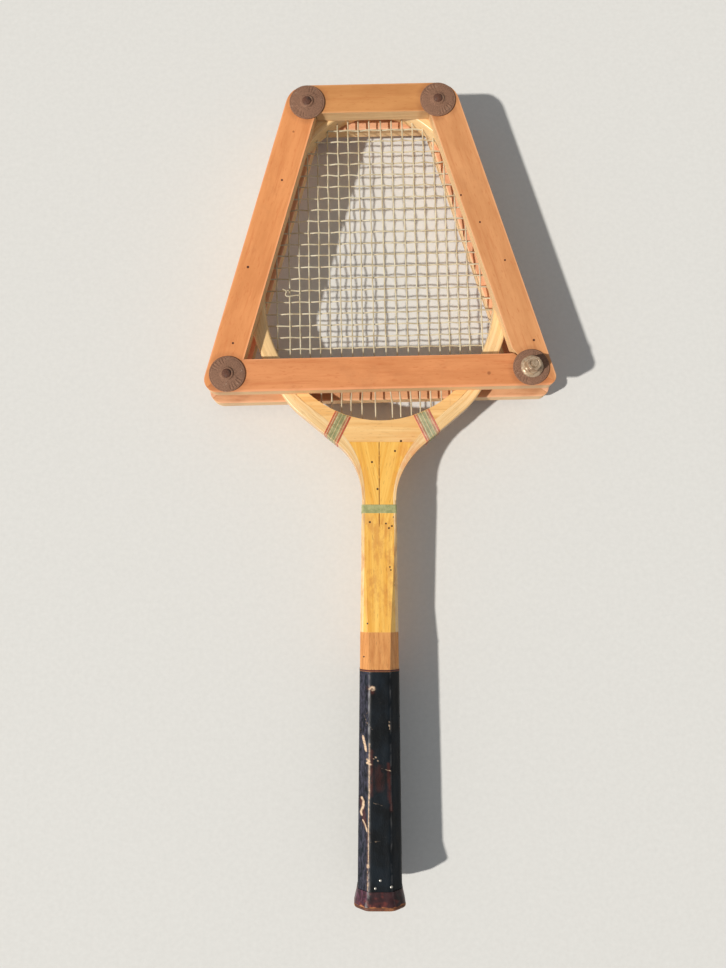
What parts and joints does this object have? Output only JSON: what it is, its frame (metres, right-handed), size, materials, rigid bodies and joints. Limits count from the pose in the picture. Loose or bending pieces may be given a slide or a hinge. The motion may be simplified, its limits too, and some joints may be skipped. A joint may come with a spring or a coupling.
{
  "type": "wooden racket in a press",
  "caption": "Old strung wooden racket with a leather-gripped octagonal handle, its head clamped between the two trapezoid frames of a wooden press held by bolts and wing nuts.",
  "frame": {"origin": "centre of the flat butt end of the handle, in the middle of the racket's thickness", "axes": "+Y runs up the racket's long axis to the head, +X to the right seen from the front, +Z out of the front of the strings"},
  "size_m": [0.2954, 0.6879, 0.0755],
  "materials": {
    "hoop_ash": "pale ash under old clear varnish",
    "shaft_wood": "yellow-orange varnished beech",
    "handle_wood": "bare handled wood, matt",
    "grip_leather": "navy black smooth leather, scuffed on its edges",
    "tape_red": "dark red leather strip",
    "collar_leather": "dark reddish-brown leather, worn",
    "butt_leather": "pale worn raw leather",
    "tack_steel": "bright tack heads",
    "whipping_thread": "green-grey thread edged in red, varnished over",
    "string_gut": "cream gut string, dull",
    "press_wood": "orange-pink beech, worn, with worm holes",
    "spline_wood": "thin ply tongue",
    "rusty_steel": "rust-brown pressed steel",
    "bright_steel": "worn bright plated steel",
    "wing_nut_iron": "rusty malleable iron"
  },
  "bodies": {
    "rear_frame": {"rear_top_bar": "press_wood", "rear_bottom_bar": "press_wood", "rear_left_bar": "press_wood", "rear_right_bar": "press_wood", "rear_corner_splines": "spline_wood", "plain_washers": "rusty_steel"},
    "front_frame": {"front_top_bar": "press_wood", "front_bottom_bar": "press_wood", "front_left_bar": "press_wood", "front_right_bar": "press_wood", "front_corner_splines": "spline_wood", "disc_top_left": "rusty_steel", "disc_top_right": "rusty_steel", "disc_bottom_left": "rusty_steel", "disc_bottom_right": "rusty_steel", "bolt_top_left": "rusty_steel", "bolt_top_right": "rusty_steel", "bolt_bottom_left": "rusty_steel", "stud_bottom_right": "bright_steel", "flange_nut": "bright_steel", "lock_nut": "bright_steel"},
    "racket": {"bow_outer_ply": "hoop_ash", "bow_inner_ply": "hoop_ash", "throat_yoke": "hoop_ash", "throat_wedge_left": "shaft_wood", "throat_wedge_right": "shaft_wood", "shaft_core": "shaft_wood", "handle_cheek_front": "handle_wood", "handle_cheek_back": "handle_wood", "leather_grip": "grip_leather", "grip_top_tape": "tape_red", "butt_collar": "collar_leather", "butt_plate": "butt_leather", "grip_tacks": "tack_steel", "shoulder_whipping_left": "whipping_thread", "shoulder_whipping_right": "whipping_thread", "shaft_band": "whipping_thread", "main_strings": "string_gut", "cross_strings": "string_gut"},
    "wing_nut_top_left": {"wing_nut_top_left": "wing_nut_iron"},
    "wing_nut_top_right": {"wing_nut_top_right": "wing_nut_iron"},
    "wing_nut_bottom_left": {"wing_nut_bottom_left": "wing_nut_iron"},
    "wing_nut_bottom_right": {"wing_nut_bottom_right": "wing_nut_iron"}
  },
  "joints": [
    {"name": "press_open", "type": "slide", "parent": "rear_frame", "child": "front_frame", "axis": [0, 0, 1], "range_m": [0, 0.008]},
    {"name": "racket_slide", "type": "slide", "parent": "rear_frame", "child": "racket", "axis": [0, -1, 0], "range_m": [0, 0.3]},
    {"name": "wing_nut_top_left_turn", "type": "hinge", "parent": "rear_frame", "child": "wing_nut_top_left", "pos_m": [-0.06188, 0.66936, -0.029], "axis": [0, 0, 1], "range_deg": [-2280, 0]},
    {"name": "wing_nut_top_right_turn", "type": "hinge", "parent": "rear_frame", "child": "wing_nut_top_right", "pos_m": [0.05109, 0.67192, -0.029], "axis": [0, 0, 1], "range_deg": [-2280, 0]},
    {"name": "wing_nut_bottom_left_turn", "type": "hinge", "parent": "rear_frame", "child": "wing_nut_bottom_left", "pos_m": [-0.12687, 0.43002, -0.029], "axis": [0, 0, 1], "range_deg": [-2280, 0]},
    {"name": "wing_nut_bottom_right_turn", "type": "hinge", "parent": "rear_frame", "child": "wing_nut_bottom_right", "pos_m": [0.12687, 0.43578, -0.029], "axis": [0, 0, 1], "range_deg": [-2280, 0]}
  ],
  "couplings": [
    {"joint": "wing_nut_top_left_turn", "follows": "press_open", "rad_per_m": -4947.4},
    {"joint": "wing_nut_top_right_turn", "follows": "press_open", "rad_per_m": -4947.4},
    {"joint": "wing_nut_bottom_left_turn", "follows": "press_open", "rad_per_m": -4947.4},
    {"joint": "wing_nut_bottom_right_turn", "follows": "press_open", "rad_per_m": -4947.4}
  ]
}
